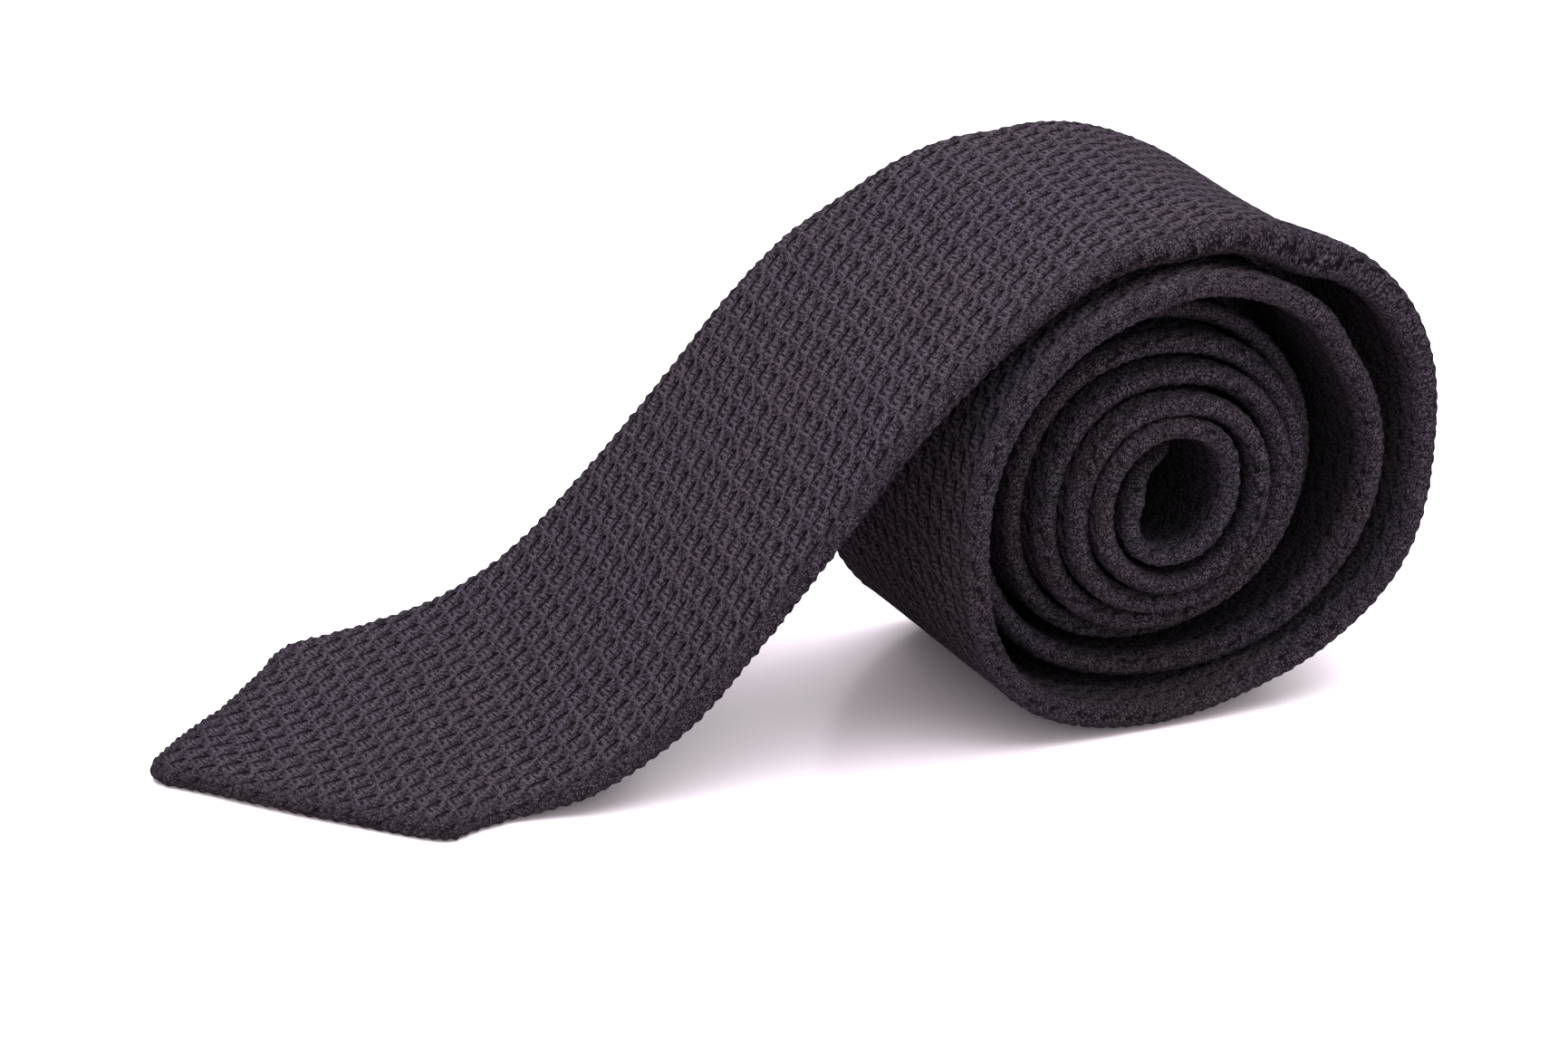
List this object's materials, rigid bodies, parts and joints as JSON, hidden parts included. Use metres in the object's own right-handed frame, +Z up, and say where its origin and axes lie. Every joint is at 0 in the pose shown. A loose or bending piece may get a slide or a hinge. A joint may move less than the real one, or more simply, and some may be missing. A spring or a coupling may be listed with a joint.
{
  "type": "grenadine tie",
  "caption": "Woven grenadine necktie rolled up from its narrow end, with the pointed front blade drawn out flat.",
  "frame": {"origin": "under the middle of the rolled tie's box, on the surface that it lies on", "axes": "+X from the blade's tip towards the roll, +Z up, +Y away from the side of the roll that the picture shows"},
  "size_m": [0.2298, 0.0918, 0.09],
  "materials": {
    "grenadine": "matt open silk gauze weave, near black with a slight violet cast"
  },
  "bodies": {
    "root": {"blade": "grenadine", "neck": "grenadine", "tail": "grenadine"}
  },
  "joints": []
}
